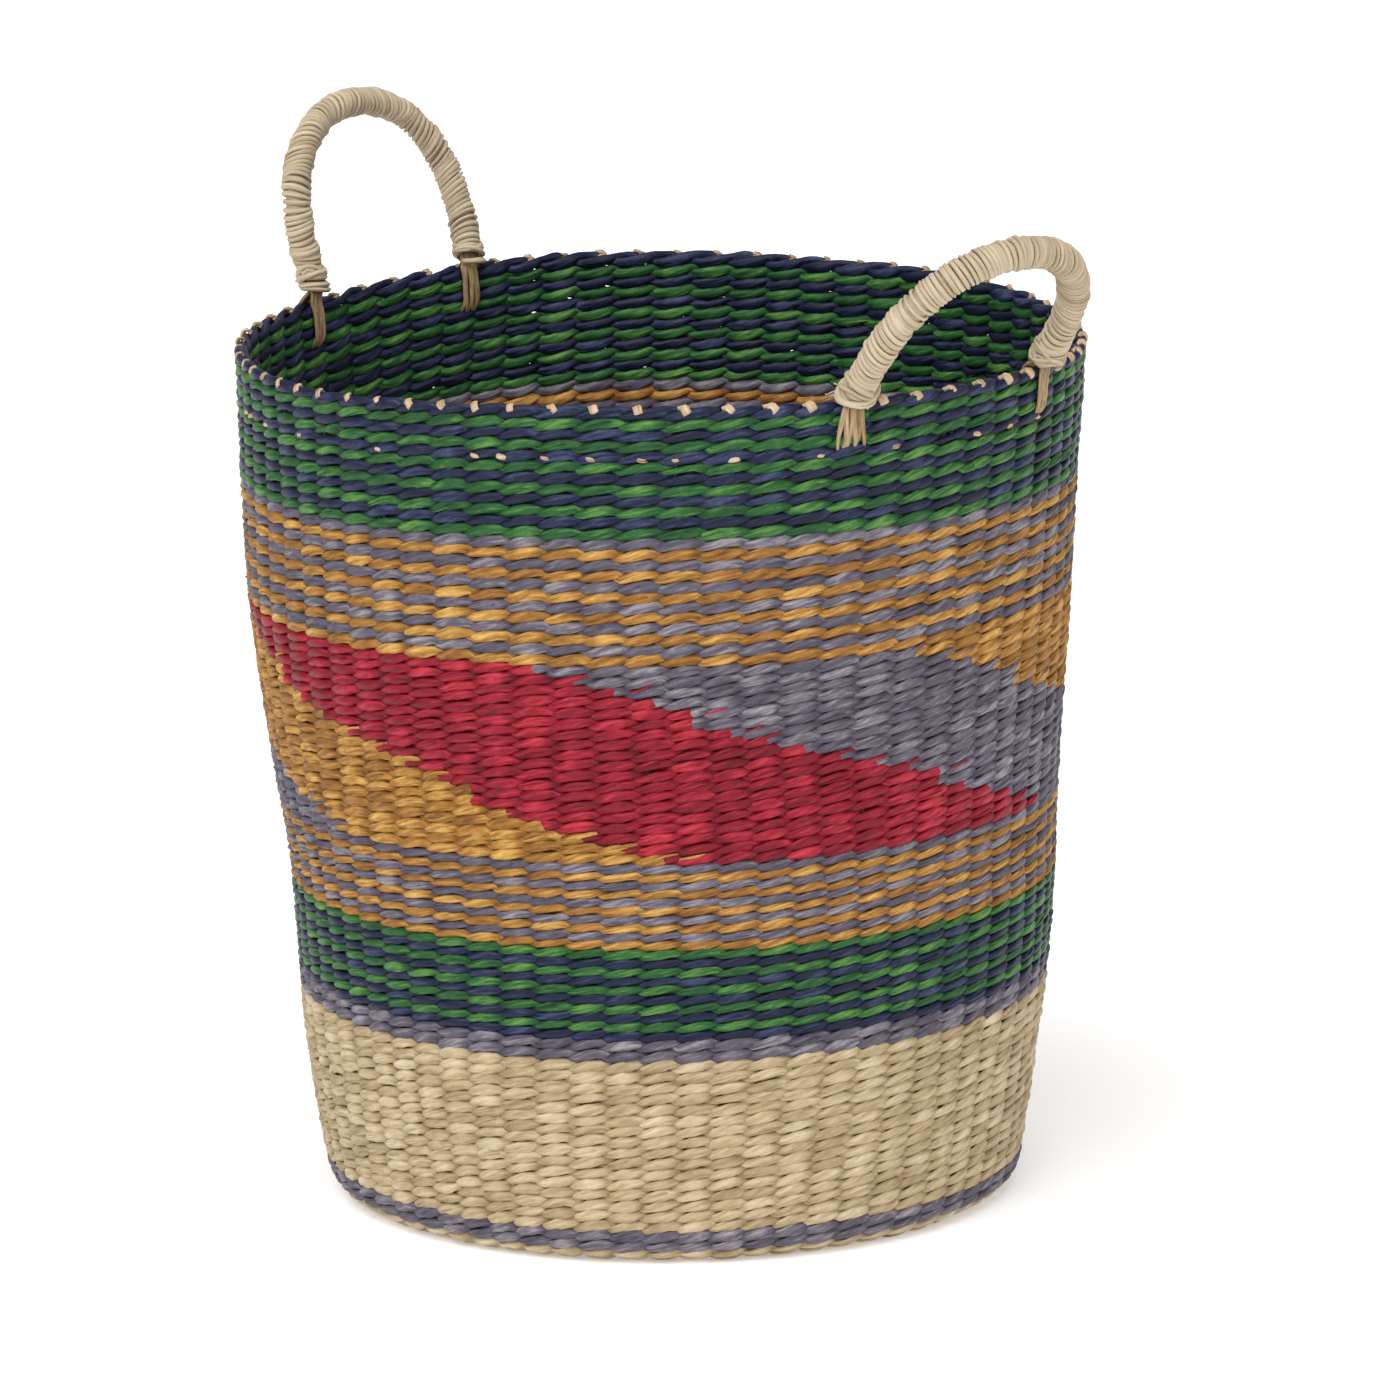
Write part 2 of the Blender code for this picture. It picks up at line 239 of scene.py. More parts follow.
class Bundle:
    """Strands that make one piece, collected as arrays and built as one mesh."""

    def __init__(self, name):
        self.name = name
        self.points, self.faces, self.tones, self.strips, self.ends = [], [], [], [], []
        self.count = 0

    def add(self, centre, normal, half_width, half_depth, closed, tone, sides=STRAND_SIDES, ridges=0.0):
        """Sweep a flat oval along centre; its depth follows normal."""
        total = len(centre)
        if closed:
            along = np.roll(centre, -1, 0) - np.roll(centre, 1, 0)
        else:
            along = np.gradient(centre, axis=0)
        along /= np.linalg.norm(along, axis=1)[:, None]
        across = np.cross(along, normal)
        across /= np.linalg.norm(across, axis=1)[:, None]
        depth = np.cross(across, along)
        turn = 2.0 * math.pi * np.arange(sides) / sides
        folds = 1.0
        if ridges:
            knots = max(3, total // 7)
            place = np.arange(total) if closed else np.arange(total) * 0.999
            heights = wander(place, total, random.uniform(-1.0, 1.0, (knots, sides)))
            folds = 1.0 + ridges * heights[..., None]
        flat = across[:, None] * (np.cos(turn)[None, :, None] * np.reshape(half_width, (-1, 1, 1)))
        thick = depth[:, None] * (np.sin(turn)[None, :, None] * np.reshape(half_depth, (-1, 1, 1)))
        rings = centre[:, None] + (flat + thick) * folds
        index = self.count + np.arange(total * sides).reshape(total, sides)
        spans = total if closed else total - 1
        near, far = index[:spans], np.roll(index, -1, 0)[:spans]
        quads = np.stack([near, np.roll(near, -1, 1), np.roll(far, -1, 1), far], -1)
        self.points.append(rings.reshape(-1, 3))
        self.faces.append(quads.reshape(-1, 4))
        self.tones.append(np.repeat(tone, sides))
        lengths = np.linalg.norm(np.roll(centre, -1, 0) - centre, axis=1)[:spans]
        self.strips.append((spans, sides, np.concatenate([[0.0], np.cumsum(lengths)])))
        self.count += total * sides
        if not closed:
            self.ends += [index[0][::-1], index[-1]]

    def build(self, material, slot, body, *nodes):
        """Make the mesh object, with strand and bake coordinates, riding on a body."""
        faces = np.concatenate(self.faces).tolist() + [list(end) for end in self.ends]
        mesh = bpy.data.meshes.new(self.name)
        mesh.from_pydata(np.concatenate(self.points).tolist(), [], faces)
        mesh.shade_smooth()
        tone = mesh.attributes.new("tone", "FLOAT", "POINT")
        tone.data.foreach_set("value", np.concatenate(self.tones).astype(np.float32))
        self.add_coordinates(mesh)
        mesh.materials.append(material)
        made = bpy.data.objects.new(self.name, mesh)
        bpy.context.collection.objects.link(made)
        if body:
            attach(made, body)
        if nodes:
            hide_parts(*nodes)
        return made

    def add_coordinates(self, mesh):
        """Strand: centimetres along and turns round. OFBake: every strand laid flat.

        The flat strands are cut into lines of even length, with a margin between the lines.
        """
        margin = 0.06
        line = int(math.sqrt(sum(spans for spans, _, _ in self.strips) * 6.0))
        line = max(40, min(line, max(spans for spans, _, _ in self.strips)))
        lines = sum(math.ceil(spans / line) for spans, _, _ in self.strips)
        strand_parts, bake_parts = [], []
        used = 0
        for number, (spans, sides, lengths) in enumerate(self.strips):
            span = np.arange(spans)[:, None, None]
            side = np.arange(sides)[None, :, None]
            far = np.array([0, 0, 1, 1])[None, None, :]
            over = np.array([0, 1, 1, 0])[None, None, :]
            run = lengths[span + far] * 100.0
            turn = (side + over) / sides + 7.0 * number
            strand_parts.append(np.stack(np.broadcast_arrays(run, turn), -1).reshape(-1, 2))
            across = (span % line + far) / line
            down = (used + span // line + margin + (1.0 - 2.0 * margin) * (side + over) / sides) / lines
            bake_parts.append(np.stack(np.broadcast_arrays(across, down), -1).reshape(-1, 2))
            used += math.ceil(spans / line)
        end_corners = np.full((sum(len(end) for end in self.ends), 2), 0.002)
        for name, parts in (("Strand", strand_parts), ("OFBake", bake_parts)):
            layer = mesh.uv_layers.new(name=name)
            corners = np.concatenate(parts + [end_corners]).astype(np.float32)
            layer.data.foreach_set("uv", corners.ravel())


# ---- Rounds of twining ---------------------------------------------------------

def stake_angle(place, z):
    """Angle of a place counted in stakes; the hand-set stakes drift a little."""
    drift = 0.10 * np.sin(2.0 * math.pi * 3.0 * place / STAKES + 22.0 * z)
    drift += 0.07 * np.sin(2.0 * math.pi * 8.0 * place / STAKES + 31.0 * z + 1.0)
    return (place + 0.5 + drift) * 2.0 * math.pi / STAKES


class Round:
    """One round of twining: two strands that swap sides between the stakes.

    Places along a round are counted in stakes. Strand 0 is outside at the even ones.
    """

    def __init__(self, radius, z, turn, height, stakes=STAKES, loose=0.0, steps=STEPS_PER_STITCH):
        self.radius, self.z, self.turn, self.stakes, self.steps = radius, z, turn, stakes, steps
        self.loose = loose
        self.scale = height / NORMAL_ROW
        self.strands = 1 if stakes % 2 else 2
        self.length = stakes * 2 // self.strands
        self.random = random.uniform(-1.0, 1.0, (self.strands, self.length, 6))
        self.waves = random.uniform(-1.0, 1.0, 24)

    def stitch(self, strand, place):
        """Values of the stitches along a strand: width, depth, rise, reach, tone, gape."""
        return hold(place, self.random[strand]).T

    def path(self, strand, place, up_more=0.0, out_more=0.0):
        """Centre line of a strand and the way its flat face looks."""
        _, _, rise, reach, _, _ = self.stitch(strand, place)
        phase = math.pi * (place + strand)
        swing = min(SWING, 0.33 * 2.0 * math.pi * self.radius / self.stakes)
        side = np.cos(phase - LAG)
        out = swing * side * (1.15 - 0.15 * side * side) * (1.0 + REACH_SPREAD * reach)
        up = CLIMB * np.sin(phase) * (1.0 + RISE_SPREAD * rise) + 0.15 * MM * rise
        up = self.scale * (up + 0.3 * MM * wander(place, self.length, self.waves))
        out, up = out + out_more, up + up_more
        sine, cosine = math.sin(self.turn), math.cos(self.turn)
        radius = self.radius + out * sine + up * cosine
        z = self.z - out * cosine + up * sine
        angle = stake_angle(place * STAKES / self.stakes, self.z)
        centre = np.stack([radius * np.cos(angle), radius * np.sin(angle), z], 1)
        tip = TWIST * np.sin(phase - LAG) * np.where(side < 0.0, -1.0, 1.0)
        level = sine + cosine * tip
        normal = np.stack([level * np.cos(angle), level * np.sin(angle), sine * tip - cosine], 1)
        return settle(centre), normal, side

    def twine(self, bundle, start=None, end=None):
        """Add both strands, all round or from one place to another."""
        whole = start is None
        first, last = (0.0, float(self.length)) if whole else (start - 0.25, end + 0.25)
        count = int(round((last - first) * self.steps))
        place = first + (last - first) * np.arange(count) / (count if whole else count - 1)
        for strand in range(self.strands):
            centre, normal, side = self.path(strand, place)
            width, depth, _, _, tone, gape = self.stitch(strand, place)
            crossing = (1.0 - side * side) ** 0.75
            half_width = STRAND_HALF_WIDTH * (1.0 + WIDTH_SPREAD * width) - NARROWING * crossing
            slack = self.loose * (0.05 + 0.45 * smooth_step(gape, 0.88, 1.0))
            half_width = self.scale * half_width * (1.0 - slack)
            half_depth = STRAND_HALF_DEPTH * (1.0 + DEPTH_SPREAD * depth) * (1.0 + THICKENING * crossing)
            if not whole:
                fade = np.clip(0.3 + np.minimum(place - first, last - place) / 0.3, 0.3, 1.0)
                half_width, half_depth = half_width * fade, half_depth * fade
            # Painted shade: the tone drops near the crossing, where a strand passes under its partner
            # into the wall.
            tone = 0.5 + 0.5 * tone - 0.3 * smooth_step(crossing, 0.6, 1.0)
            bundle.add(centre, normal, half_width, half_depth, whole, tone, ridges=RIDGES)

    def sliver(self, bundle, strand, start, end, up_from, up_to, half_width, lift=1.5 * MM, tone=0.5):
        """A thin split of leaf that lies on the outside of the row, pointed at its end."""
        place = np.linspace(start, end, 9)
        share = np.linspace(0.0, 1.0, 9)
        inward = -1.0 if math.cos(math.pi * (0.5 * (start + end) + strand)) < 0.0 else 1.0
        up = up_from + (up_to - up_from) * share
        centre, normal, _ = self.path(strand, place, up, inward * lift)
        width = half_width * (0.25 + 0.75 * np.sin(math.pi * np.clip(share * 0.9 + 0.1, 0.0, 1.0)) ** 0.7)
        bundle.add(centre, normal, width, 0.35 * MM, False, np.full(9, tone), sides=6)

    def split_leaves(self, bundle, start=0, end=None):
        """Slivers along random stitches, where a leaf has split."""
        for strand in range(self.strands):
            for stitch in range(start, self.length if end is None else end):
                if random.uniform() > SPLIT_LEAVES:
                    continue
                place = stitch + 0.1 * spread()
                middle = 0.9 * MM * spread()
                tone = 0.5 + 0.5 * self.random[strand, stitch % self.length, 4]
                tone += random.choice((-0.4, 0.4))
                self.sliver(bundle, strand, place - 0.35, place + 0.45, middle - 0.3 * MM,
                            middle + 0.4 * MM, random.uniform(0.35, 0.7) * MM, tone=tone)


def wall_round(z, height, loose):
    """A round on the wall at height z."""
    slope = (curve_radius(z + MM) - curve_radius(z - MM)) / (2.0 * MM)
    return Round(curve_radius(z) - WALL_HALF, z, math.atan2(1.0, slope), height, loose=loose)


def heel_round(degrees, height):
    """A round on the heel; 0 degrees is under the base."""
    turn = math.radians(degrees)
    reach = HEEL_Z - WALL_HALF
    return Round(HEEL_MIDDLE + reach * math.sin(turn), HEEL_Z - reach * math.cos(turn), turn, height)


def band_rounds(name, count, above):
    """The rounds of one band, from its foot up to the foot of the band above."""
    loose = LOOSENESS.get(name, NORMAL_LOOSENESS)
    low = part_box(name + "_inner")[0].z
    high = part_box(above + "_inner")[0].z if above else RIM_Z
    height = (high - low) / count
    return [wall_round(low + (row + 0.5) * height, height, loose) for row in range(count)]


# ---- Materials -------------------------------------------------------------------

def noise(nodes, links, coordinates, stretch, detail):
    """Noise over strand coordinates: cycles per centimetre along, cycles per turn round."""
    place = nodes.new("ShaderNodeMapping")
    place.inputs["Scale"].default_value = (stretch[0], stretch[1], 1.0)
    links.new(coordinates, place.inputs["Vector"])
    texture = nodes.new("ShaderNodeTexNoise")
    texture.inputs["Scale"].default_value = 1.0
    texture.inputs["Detail"].default_value = detail
    texture.inputs["Roughness"].default_value = 0.65
    links.new(place.outputs["Vector"], texture.inputs["Vector"])
    return texture.outputs["Fac"]


def weigh(nodes, links, value, weight, add):
    """value * weight + add, where add is a number or another output."""
    node = nodes.new("ShaderNodeMath")
    node.operation = "MULTIPLY_ADD"
    links.new(value, node.inputs[0])
    node.inputs[1].default_value = weight
    if isinstance(add, float):
        node.inputs[2].default_value = add
    else:
        links.new(add, node.inputs[2])
    return node.outputs[0]


def straw(name, dark, middle, light, roughness=0.6, streaks=1.5):
    """Plant fibre: a tone per stitch, lowered for painted shade in places, long fibres along the strand,
    faint mottling.
    """
    tones, mottling = 0.32, 0.35
    material = bpy.data.materials.new(name)
    material.use_nodes = True
    nodes, links = material.node_tree.nodes, material.node_tree.links
    shader = nodes["Principled BSDF"]
    shader.inputs["Specular IOR Level"].default_value = 0.25
    material.diffuse_color = (*middle, 1.0)
    place = nodes.new("ShaderNodeUVMap")
    place.uv_map = "Strand"
    fibres = noise(nodes, links, place.outputs["UV"], (0.8, 8.0), 4.0)
    mottle = noise(nodes, links, place.outputs["UV"], (1.1, 2.5), 2.0)
    tone = nodes.new("ShaderNodeAttribute")
    tone.attribute_name = "tone"
    total = weigh(nodes, links, tone.outputs["Fac"], tones, 0.5 - 0.5 * (tones + streaks + mottling))
    total = weigh(nodes, links, fibres, streaks, total)
    total = weigh(nodes, links, mottle, mottling, total)
    ramp = nodes.new("ShaderNodeValToRGB")
    stops = ramp.color_ramp.elements
    stops[0].position, stops[0].color = 0.10, (*dark, 1.0)
    stops[1].position, stops[1].color = 0.92, (*light, 1.0)
    stops.new(0.5).color = (*middle, 1.0)
    links.new(total, ramp.inputs["Fac"])
    links.new(ramp.outputs["Color"], shader.inputs["Base Color"])
    rough = weigh(nodes, links, fibres, 0.3, roughness - 0.15)
    links.new(rough, shader.inputs["Roughness"])
    raised = nodes.new("ShaderNodeBump")
    raised.inputs["Strength"].default_value = 0.6
    raised.inputs["Distance"].default_value = 0.8 * MM
    links.new(fibres, raised.inputs["Height"])
    links.new(raised.outputs["Normal"], shader.inputs["Normal"])
    return material


MATERIALS = {
    "natural": straw("seagrass_natural", (0.21, 0.145, 0.07), (0.45, 0.345, 0.20), (0.70, 0.59, 0.42),
                     streaks=1.2),
    "grey": straw("seagrass_grey", (0.038, 0.032, 0.050), (0.115, 0.100, 0.130), (0.35, 0.32, 0.34)),
    "green": straw("seagrass_green", (0.004, 0.027, 0.009), (0.017, 0.100, 0.022), (0.13, 0.30, 0.055),
                   roughness=0.45),
    "navy": straw("seagrass_navy", (0.003, 0.004, 0.016), (0.006, 0.010, 0.038), (0.055, 0.07, 0.155),
                  roughness=0.42),
    "ochre": straw("seagrass_ochre", (0.12, 0.045, 0.008), (0.35, 0.160, 0.030), (0.72, 0.44, 0.12)),
    "red": straw("seagrass_red", (0.075, 0.001, 0.006), (0.245, 0.003, 0.015), (0.56, 0.035, 0.060),
                 roughness=0.45),
    # The stake's darkest stop is mostly painted shade, for the stake body seen in the gaps between
    # rounds.
    "stake": straw("split_reed", (0.045, 0.03, 0.022), (0.50, 0.34, 0.21), (0.70, 0.53, 0.38)),
    "twine": straw("paper_twine", (0.34, 0.25, 0.15), (0.53, 0.43, 0.295), (0.68, 0.58, 0.43),
                   streaks=1.0),
    "strand": straw("bare_strand", (0.13, 0.075, 0.03), (0.35, 0.235, 0.12), (0.58, 0.44, 0.26)),
}
SLOTS = {
    "natural": "natural_seagrass", "grey": "grey_seagrass", "green": "green_seagrass",
    "navy": "navy_seagrass", "ochre": "ochre_seagrass", "red": "red_seagrass",
    "stake": "stake_reed", "twine": "handle_twine", "strand": "handle_twine",
}


# ---- Basket ----------------------------------------------------------------------

def build_bands():
    """Each colour of each band is one piece; the tall natural band is three."""
    for name, count, above, colours in BANDS:
        rounds = band_rounds(name, count, above)
        if name == "natural":
            groups = [("low", "natural", rounds[:5]), ("middle", "natural", rounds[5:10]),
                      ("high", "natural", rounds[10:])]
        else:
            groups = [(colour, colour, rounds[number::len(colours)])
                      for number, colour in enumerate(colours)]
        for label, colour, own_rounds in groups:
            bundle = Bundle("%s_weft_%s" % (name, label))
            for one in own_rounds:
                one.twine(bundle)
                one.split_leaves(bundle)
            bundle.build(MATERIALS[colour], SLOTS[colour], "basket", name + "_outer", name + "_inner")


def build_pattern():
    """Six slanting panels; at most rounds down, a panel starts one stitch further on."""
    rounds = band_rounds("pattern", PATTERN_ROWS, "ochre_grey_upper")[::-1]
    steps = [down - sum(row <= down for row in HELD_ROWS) for down in range(PATTERN_ROWS)]
    start = PANEL_START
    for number, (colour, width) in enumerate(zip(PANEL_COLOURS, PANEL_STITCHES), 1):
        bundle = Bundle("panel_%d_weft_%s" % (number, colour))
        for step, one in zip(steps, rounds):
            first, last = start + step, start + step + width
            one.twine(bundle, first, last)
            one.split_leaves(bundle, int(first + 1), int(last))
            for strand in range(2):
                if random.uniform() < 0.75:
                    over = last + random.uniform(0.4, 1.2)
                    rise = random.uniform(1.6, 3.0) * MM
                    half_width = random.uniform(0.6, 1.3) * MM
                    one.sliver(bundle, strand, last - 0.5, over, 0.0, rise, half_width,
                               lift=1.3 * MM, tone=random.uniform(0.3, 1.0))
        node = "pattern_panel_%d_%s" % (number, colour)
        bundle.build(MATERIALS[colour], SLOTS[colour], "basket", node, "pattern_inner")
        start += width


def build_heel_and_base():
    """Rounds of the heel, then rounds of the base in to its middle."""
    for colour, turns in (("grey", (80.0, 58.0)), ("natural", (35.0, 12.0))):
        bundle = Bundle("heel_weft_" + colour)
        for turn in turns:
            heel_round(turn, 4.9 * MM).twine(bundle)
        bundle.build(MATERIALS[colour], SLOTS[colour], "basket", "heel_rounds")
    pitch = 5.0 * MM
    radii = np.arange(HEEL_MIDDLE - 0.5 * pitch, 6.0 * MM, -pitch)
    for label, group in (("outer", radii[:11]), ("inner", radii[11:])):
        bundle = Bundle("base_weft_" + label)
        for radius in group:
            stakes = STAKES if radius > 70 * MM else STAKES // 2 if radius > 25 * MM else STAKES // 6
            Round(radius, WALL_HALF, 0.0, pitch, stakes=stakes, steps=6).twine(bundle)
        bundle.build(MATERIALS["natural"], SLOTS["natural"], "basket",
                     "base_weave_lower", "base_weave_upper")


def stake_line(inner_radius, top):
    """Mid-wall (radius, z, turn) points from inside the base up to a height."""
    line = [(r, WALL_HALF, 0.0) for r in np.linspace(inner_radius, HEEL_MIDDLE, 12)]
    reach = HEEL_Z - WALL_HALF
    for turn in np.linspace(0.0, math.pi / 2.0, 7)[1:]:
        line.append((HEEL_MIDDLE + reach * math.sin(turn), HEEL_Z - reach * math.cos(turn), turn))
    for z in np.linspace(HEEL_Z, top, 46)[1:]:
        line.append((float(curve_radius(z)) - WALL_HALF, z, math.pi / 2.0))
    return np.array(line)


def build_stakes():
    """Stakes from the base to the rim, where their ends turn down over the border."""
    bundle = Bundle("stakes")
    over = np.array([(0.2, 0.8), (1.4, 1.6), (2.6, 1.2), (3.2, 0.0), (3.1, -0.9)]) * MM
    end = slice(-len(over), None)
    for number in range(STAKES):
        inner = 4 * MM if number % 6 == 0 else 24 * MM if number % 2 == 0 else 69 * MM
        line = stake_line(inner, RIM_Z - 1.2 * MM)
        size = random.uniform(0.75, 1.2)
        fold = np.column_stack([float(curve_radius(RIM_Z)) - WALL_HALF + over[:, 0] * size,
                                RIM_Z + over[:, 1] * size - 0.6 * MM, np.full(len(over), math.pi / 2.0)])
        line = np.vstack([line, fold])
        angle = stake_angle(float(number), line[:, 1])
        sideways = 3.5 * MM * random.uniform(0.2, 1.0) / fold[0, 0]
        angle[end] += np.linspace(0.0, 1.0, len(over)) * sideways
        flat = np.stack([np.cos(angle), np.sin(angle)], 1)
        centre = np.column_stack([flat * line[:, :1], line[:, 1]])
        facing = line[:, 2].copy()
        facing[end] += np.radians([20.0, 50.0, 0.0, -10.0, -10.0])
        normal = np.column_stack([flat * np.sin(facing)[:, None], -np.cos(facing)])
        half_width = STAKE_HALF_WIDTH * np.clip(line[:, 0] / (70 * MM), 0.45, 1.0)
        half_depth = np.full(len(line), STAKE_HALF_DEPTH)
        half_width[end] *= random.uniform(1.2, 1.8)
        half_depth[end] *= random.uniform(0.9, 1.5)
        # Painted shade: the stake body inside the wall is set to the darkest tone; only the turned-down
        # ends get their own tone.
        tone = np.full(len(line), -1.0)
        tone[end] = random.uniform(0.4, 1.0)
        bundle.add(settle(centre), normal, half_width, half_depth, False, tone, ridges=0.06)
    for number in range(STAKES):
        if random.uniform() < TIPS:
            stake_tip(bundle, number + 0.5 * spread(), TIP_Z + 0.5 * MM * spread())
    bundle.build(MATERIALS["stake"], SLOTS["stake"], "basket", "stake_frame")


def stake_tip(bundle, place, z):
    """A cut stake end that peeps out between two rounds."""
    size = random.uniform(0.6, 1.1)
    side = np.linspace(-2.6, 2.6, 6) * size * MM
    bow = np.array([-0.8, 0.6, 1.2, 1.3, 0.5, -0.9]) * MM
    radius = float(curve_radius(z)) - WALL_HALF + SWING + bow
    angle = stake_angle(place, z) + side / radius
    centre = np.stack([radius * np.cos(angle), radius * np.sin(angle), z + 0.25 * spread() * side], 1)
    normal = np.stack([np.cos(angle), np.sin(angle), np.full(6, 0.3)], 1)
    tone = np.full(6, random.uniform(0.3, 1.0))
    bundle.add(settle(centre), normal, 1.15 * size * MM, 0.9 * MM, False, tone, ridges=0.2)


# ---- Handles ---------------------------------------------------------------------

def arch_points(handle, turns):
    """Centre line of a handle in its own plane: across, up."""
    angle = np.radians(turns)
    side = np.sign(np.cos(angle)) * np.abs(np.cos(angle)) ** ARCH_SQUARENESS
    rise = np.abs(np.sin(angle)) ** ARCH_SQUARENESS
    span = handle["half_span"] + handle["bulge"] * np.sin(2.0 * np.minimum(angle, math.pi - angle))
    return np.stack([span * side, handle["height"] * rise], 1)


def hinge_radius():
    """Distance from the basket's middle to the middle of a handle's foot."""
    return float(curve_radius(RIM_Z)) - HINGE_DEPTH


def handle_axes(handle):
    """Hinge point, outward, across and up directions of a handle."""
    azimuth, lean = math.radians(handle["azimuth"]), math.radians(handle["lean"])
    out = np.array([math.cos(azimuth), math.sin(azimuth), 0.0])
    across = np.array([-math.sin(azimuth), math.cos(azimuth), 0.0])
    up = math.cos(lean) * np.array([0.0, 0.0, 1.0]) + math.sin(lean) * out
    reach = math.sqrt(hinge_radius() ** 2 - handle["half_span"] ** 2)
    hinge = out * reach + np.array([0.0, 0.0, RIM_Z - HINGE_DROP])
    return hinge, np.cross(across, up), across, up


def handle_line(handle, lowest, spacing):
    """World points along a handle's centre line above a height, evenly spaced."""
    flat = arch_points(handle, np.linspace(0.0, 180.0, 4001))
    flat = flat[flat[:, 1] >= lowest]
    lengths = np.concatenate([[0.0], np.cumsum(np.linalg.norm(np.diff(flat, axis=0), axis=1))])
    even = np.arange(0.0, lengths[-1], spacing)
    across = np.interp(even, lengths, flat[:, 0])
    up = np.interp(even, lengths, flat[:, 1])
    hinge, out_dir, across_dir, up_dir = handle_axes(handle)
    points = hinge + across[:, None] * across_dir + up[:, None] * up_dir
    return even, points, out_dir


def wind(bundle, length, points, side, radius, from_end, to_end):
    """One helical winding of twine round part of a centre line."""
    steps = 22
    turns = (to_end - from_end) / TWINE_PITCH
    count = int(turns * steps)
    share = np.arange(count) / (count - 1)
    crowding = 0.8 * TWINE_PITCH * uneven(share, turns / 3)
    place = from_end + (to_end - from_end) * share + crowding
    place = np.clip(place, length[0], length[-1])
    base = np.stack([np.interp(place, length, points[:, k]) for k in range(3)], 1)
    ahead = np.gradient(points, axis=0)
    ahead /= np.linalg.norm(ahead, axis=1)[:, None]
    along = np.stack([np.interp(place, length, ahead[:, k]) for k in range(3)], 1)
    above = np.cross(along, side)
    turn = 2.0 * math.pi * turns * share
    reach = radius * (1.0 + 0.05 * uneven(share, turns * 2))
    reach += 0.4 * MM * uneven(share, turns / 2)
    out = side * np.cos(turn)[:, None] + above * np.sin(turn)[:, None]
    slant = TWINE_PITCH * np.sin(turn + 3.0 * uneven(share, 7))
    centre = base + out * reach[:, None] + along * slant[:, None]
    half_width = TWINE_HALF_WIDTH * (1.0 + 0.3 * uneven(share, turns * 1.5))
    tone = 0.5 + 0.5 * uneven(share, turns)
    bundle.add(centre, out, half_width, TWINE_HALF_DEPTH, False, tone, sides=8, ridges=0.35)


def loose_end(bundle, middle, direction):
    """A short end of twine that sticks out of a binding."""
    share = np.linspace(0.0, 1.0, 7)
    length, droop, side = random.uniform(9.0, 14.0) * MM, spread() * 4 * MM, spread() * 3 * MM
    centre = middle + np.outer(share * length, direction)
    centre += np.outer(share * share * side, np.cross(direction, [0.0, 0.0, 1.0]))
    centre[:, 2] += random.uniform(-1.0, 6.0) * MM + share * share * droop
    width = random.uniform(0.5, 0.9) * MM * (1.0 - 0.5 * share)
    bundle.add(centre, np.tile([0.0, 0.0, 1.0], (7, 1)), width, 0.4 * MM, False,
               np.full(7, random.uniform(0.2, 0.9)), sides=6)


def build_handle(side_name, handle):
    """Twine wrap, filling core and end bindings of one handle."""
    body = side_name + "_handle"
    length, points, side = handle_line(handle, WRAP_START, 1.0 * MM)
    wrap = Bundle(side_name + "_grip_twine")
    radius = handle["radius"]
    wind(wrap, length, points, side, radius, 0.6 * MM, length[-1] - 0.6 * MM)
    wrap.build(MATERIALS["twine"], SLOTS["twine"], body, body + "_wrap")
    core = Bundle(side_name + "_grip_core")
    inner = points[5:-5:4]
    thickness = radius - 0.6 * MM
    core.add(inner, np.tile(side, (len(inner), 1)), thickness, thickness, False,
             np.full(len(inner), 0.3), sides=12)
    core.build(MATERIALS["twine"], SLOTS["twine"], body, body + "_core")
    last = length[-1] - BINDING_START - BINDING_LENGTH
    for label, place in (("first", BINDING_START), ("second", last)):
        binding = Bundle("%s_grip_binding_%s" % (side_name, label))
        frayed = (side_name, label) == ("right", "second")
        proud = THICK_BINDING_PROUD if frayed else BINDING_PROUD
        wind(binding, length, points, side, radius + proud, place, place + BINDING_LENGTH)
        if frayed:
            for _ in range(LOOSE_ENDS):
                loose_end(binding, points[-1], -VIEW_RIGHT)
        binding.build(MATERIALS["twine"], SLOTS["twine"], body, body + "_collar_" + label)


def foot_strand(bundle, azimuth, lean, offset, fan, inside):
    """One bare strand from a handle's leg down one face of the wall and into it.

    It leaves the leg offset millimetres to a side of its middle and ends fan millimetres away.
    """
    lean = math.radians(lean)
    leg = [(place * math.sin(lean), place * math.cos(lean) - HINGE_DROP / MM) for place in LEG_PLACES]
    corners = np.array(leg + list(TAIL_INSIDE if inside else TAIL_OUTSIDE))
    share = np.linspace(0.0, 1.0, len(corners))
    fine = np.linspace(0.0, 1.0, 30)
    route = np.stack([np.interp(fine, share, corners[:, 0]), np.interp(fine, share, corners[:, 1])], 1)
    for _ in range(3):
        route[1:-1] = 0.25 * route[:-2] + 0.5 * route[1:-1] + 0.25 * route[2:]
    across = offset + (fan - offset) * smooth_step(fine, 0.15, 0.9)
    across += 1.1 * np.sin(7.0 * fine + 2.0 * offset) * fine + 0.5 * spread() * fine
    taper = float(curve_radius(RIM_Z)) - curve_radius(RIM_Z + route[:, 1] * MM)
    radius = hinge_radius() + route[:, 0] * MM - taper * (route[:, 1] < 0)
    angle = math.radians(azimuth) + across * MM / hinge_radius()
    centre = np.stack([radius * np.cos(angle), radius * np.sin(angle), RIM_Z + route[:, 1] * MM], 1)
    normal = np.stack([np.cos(angle), np.sin(angle), np.full(len(fine), 0.2)], 1)
    centre += (settle(centre) - centre) * smooth_step(fine, 0.15, 0.45)[:, None]
    tone = np.full(len(fine), random.uniform(0.0, 1.0))
    width = random.uniform(1.1, 1.7) * MM * (1.0 - 0.35 * smooth_step(fine, 0.6, 1.0))
    bundle.add(centre, normal, width, 0.8 * MM, False, tone, sides=6, ridges=0.2)


